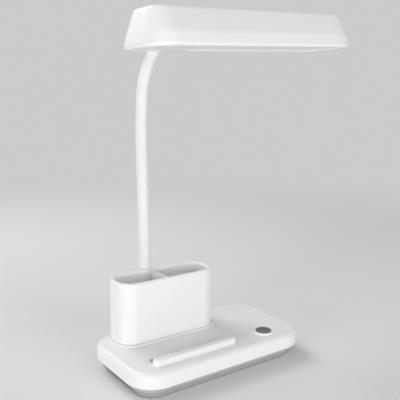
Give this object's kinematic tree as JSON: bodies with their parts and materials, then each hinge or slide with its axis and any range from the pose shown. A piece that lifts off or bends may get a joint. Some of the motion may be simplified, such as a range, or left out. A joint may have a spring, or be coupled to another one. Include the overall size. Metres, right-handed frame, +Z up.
{
  "type": "desk lamp with organizer base",
  "caption": "Desk lamp: slab base with a pen holder, phone ledge and push key, a gooseneck rising behind the holder, and a long flat-bottomed light head.",
  "frame": {"origin": "middle of the base's underside, on the table", "axes": "+Z up, +X to the right along the base's long side, +Y to the rear, where the neck rises"},
  "size_m": [0.2991, 0.1188, 0.3434],
  "materials": {
    "cover_white": "satin moulded ABS",
    "cover_grey": "fine matt moulded ABS",
    "mat_rubber": "matt",
    "plate_steel": "zinc-plated",
    "screw_steel": "zinc-plated",
    "board_green": "solder-masked laminate",
    "switch_black": "moulded",
    "inlet_steel": "nickel-plated",
    "battery_foil": "laminated foil",
    "ring_white": "polished",
    "key_dark": "smoked, polished",
    "holder_white": "satin moulded ABS",
    "neck_steel": "bright",
    "neck_silicone": "smooth silicone",
    "head_trim": "satin moulded ABS",
    "head_white": "satin moulded ABS",
    "diffuser_milky": "milky acrylic",
    "tray_white": "bright white",
    "board_white": "white solder mask",
    "led_yellow": "phosphor",
    "clamp_zinc": "die-cast"
  },
  "bodies": {
    "base": {"base_top_cover": "cover_white", "base_bottom_cover": "cover_grey", "non_slip_mat": "mat_rubber", "ballast_plate": "plate_steel", "base_screws": "screw_steel", "control_board": "board_green", "board_screws": "screw_steel", "key_switch": "switch_black", "charging_inlet": "inlet_steel", "battery_cell": "battery_foil", "key_bezel": "ring_white", "neck_plate": "plate_steel", "plate_screws": "screw_steel", "neck_ferrule": "neck_steel", "neck_nut": "neck_steel", "neck_core_1": "neck_steel", "neck_sleeve_1": "neck_silicone"},
    "key": {"key_cap": "key_dark"},
    "holder": {"pen_holder": "holder_white"},
    "neck_2": {"neck_core_2": "neck_steel", "neck_sleeve_2": "neck_silicone"},
    "neck_3": {"neck_core_3": "neck_steel", "neck_sleeve_3": "neck_silicone"},
    "neck_4": {"neck_core_4": "neck_steel", "neck_sleeve_4": "neck_silicone"},
    "neck_5": {"neck_core_5": "neck_steel", "neck_sleeve_5": "neck_silicone"},
    "neck_6": {"neck_core_6": "neck_steel", "neck_sleeve_6": "neck_silicone"},
    "neck_7": {"neck_core_7": "neck_steel", "neck_sleeve_7": "neck_silicone"},
    "neck_8": {"neck_core_8": "neck_steel", "neck_sleeve_8": "neck_silicone"},
    "head": {"neck_core_top": "neck_steel", "neck_boot": "neck_silicone", "head_frame": "head_trim", "head_hood": "head_white", "light_diffuser": "diffuser_milky", "light_tray": "tray_white", "led_board": "board_white", "led_chips": "led_yellow", "neck_clamp": "clamp_zinc", "clamp_screws": "screw_steel"}
  },
  "joints": [
    {"name": "key_press", "type": "slide", "parent": "base", "child": "key", "axis": [0, 0, -1], "range_m": [0, 0.0005], "stiffness_N_per_m": 600, "springref_m": -0.0006},
    {"name": "holder_lift", "type": "slide", "parent": "base", "child": "holder", "axis": [0, 0, 1], "range_m": [0, 0.012]},
    {"name": "neck_sway_1", "type": "hinge", "parent": "base", "child": "neck_2", "pos_m": [-0.0312, 0.052, 0.1], "axis": [0, 1, 0], "range_deg": [-12.5, 12.5]},
    {"name": "neck_nod_1", "type": "hinge", "parent": "neck_2", "child": "neck_3", "pos_m": [-0.0317, 0.052, 0.1234], "axis": [1, 0, 0], "range_deg": [-12.5, 12.5]},
    {"name": "neck_sway_2", "type": "hinge", "parent": "neck_3", "child": "neck_4", "pos_m": [-0.0323, 0.052, 0.1468], "axis": [0, 1, 0], "range_deg": [-14, 14]},
    {"name": "neck_nod_2", "type": "hinge", "parent": "neck_4", "child": "neck_5", "pos_m": [-0.0329, 0.052, 0.1702], "axis": [1, 0, 0], "range_deg": [-14, 14]},
    {"name": "neck_sway_3", "type": "hinge", "parent": "neck_5", "child": "neck_6", "pos_m": [-0.0335, 0.052, 0.1936], "axis": [0, 1, 0], "range_deg": [-14, 14]},
    {"name": "neck_nod_3", "type": "hinge", "parent": "neck_6", "child": "neck_7", "pos_m": [-0.0338, 0.052, 0.217], "axis": [1, 0, 0], "range_deg": [-14, 14]},
    {"name": "neck_sway_4", "type": "hinge", "parent": "neck_7", "child": "neck_8", "pos_m": [-0.0334, 0.052, 0.2404], "axis": [0, 1, 0], "range_deg": [-14, 14]},
    {"name": "neck_nod_4", "type": "hinge", "parent": "neck_8", "child": "head", "pos_m": [-0.0317, 0.052, 0.2638], "axis": [1, 0, 0], "range_deg": [-14, 14]}
  ],
  "couplings": [
    {"joint": "neck_sway_2", "follows": "neck_sway_1", "ratio": 1},
    {"joint": "neck_sway_3", "follows": "neck_sway_1", "ratio": 1},
    {"joint": "neck_sway_4", "follows": "neck_sway_1", "ratio": 1},
    {"joint": "neck_nod_2", "follows": "neck_nod_1", "ratio": 1},
    {"joint": "neck_nod_3", "follows": "neck_nod_1", "ratio": 1},
    {"joint": "neck_nod_4", "follows": "neck_nod_1", "ratio": 1}
  ]
}
